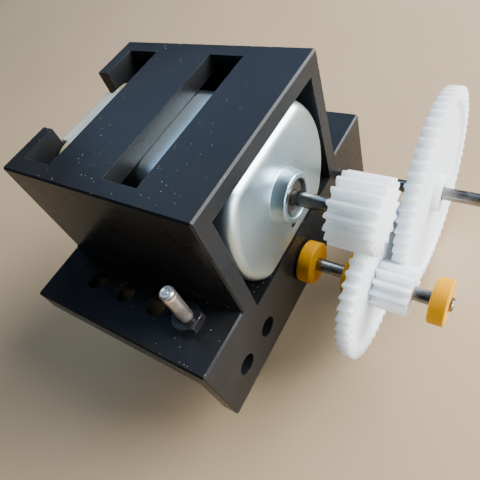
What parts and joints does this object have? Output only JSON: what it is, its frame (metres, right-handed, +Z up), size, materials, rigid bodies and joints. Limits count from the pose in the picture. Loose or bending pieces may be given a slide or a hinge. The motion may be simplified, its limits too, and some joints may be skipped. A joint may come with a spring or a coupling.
{
  "type": "motor gearbox",
  "caption": "Small DC motor in a flanged plastic bracket, driving a compound spur gear on a lay shaft and an output gear on a long output shaft.",
  "frame": {"origin": "middle of the bracket base's underside, between the flanges", "axes": "+X along the shafts from the motor's back to its pinion, +Y across the bracket towards the output shaft, +Z up out of the base"},
  "size_m": [0.071, 0.0591, 0.043],
  "materials": {
    "black_abs": "satin black moulded plastic",
    "zinc_steel": "satin zinc-plated steel",
    "bronze": "sintered bronze",
    "cap_plastic": "natural nylon, pale cream",
    "ferrite": "dull grey ferrite",
    "lamination_steel": "stacked laminations",
    "copper_wire": "enamelled copper wire",
    "copper_bar": "turned copper",
    "carbon": "carbon",
    "spring_brass": "spring brass strip",
    "shaft_steel": "ground steel shaft",
    "white_nylon": "white nylon, slightly translucent",
    "yellow_nylon": "yellow-orange nylon",
    "plated_steel": "nickel-plated steel",
    "black_steel": "blackened steel"
  },
  "bodies": {
    "housing": {"motor_bracket": "black_abs", "motor_can": "zinc_steel", "front_bearing": "bronze", "rear_bearing": "bronze", "motor_end_cap": "cap_plastic", "field_magnets": "ferrite", "carbon_brushes": "carbon", "brush_arms": "spring_brass", "motor_terminals": "spring_brass", "fixing_screw": "plated_steel", "fixing_nut": "black_steel"},
    "rotor": {"motor_shaft": "shaft_steel", "armature_core": "lamination_steel", "armature_windings": "copper_wire", "commutator": "copper_bar", "front_thrust_washer": "white_nylon", "rear_thrust_washer": "white_nylon", "motor_pinion": "white_nylon"},
    "lay_gear": {"lay_shaft": "shaft_steel", "inner_bush": "yellow_nylon", "middle_bush": "yellow_nylon", "outer_bush": "yellow_nylon", "compound_gear": "white_nylon"},
    "output": {"output_shaft": "shaft_steel", "output_gear": "white_nylon"}
  },
  "joints": [
    {"name": "motor_spin", "type": "hinge", "parent": "housing", "child": "rotor", "pos_m": [0.01675, 0, 0.0111], "axis": [1, 0, 0], "continuous": true},
    {"name": "lay_spin", "type": "hinge", "parent": "housing", "child": "lay_gear", "pos_m": [0.01675, 0, -0.00425], "axis": [1, 0, 0], "continuous": true},
    {"name": "output_spin", "type": "hinge", "parent": "housing", "child": "output", "pos_m": [0.01675, 0.0186, -0.00425], "axis": [1, 0, 0], "continuous": true}
  ],
  "couplings": [
    {"joint": "lay_spin", "follows": "motor_spin", "ratio": -0.38636},
    {"joint": "output_spin", "follows": "motor_spin", "ratio": 0.07478}
  ]
}
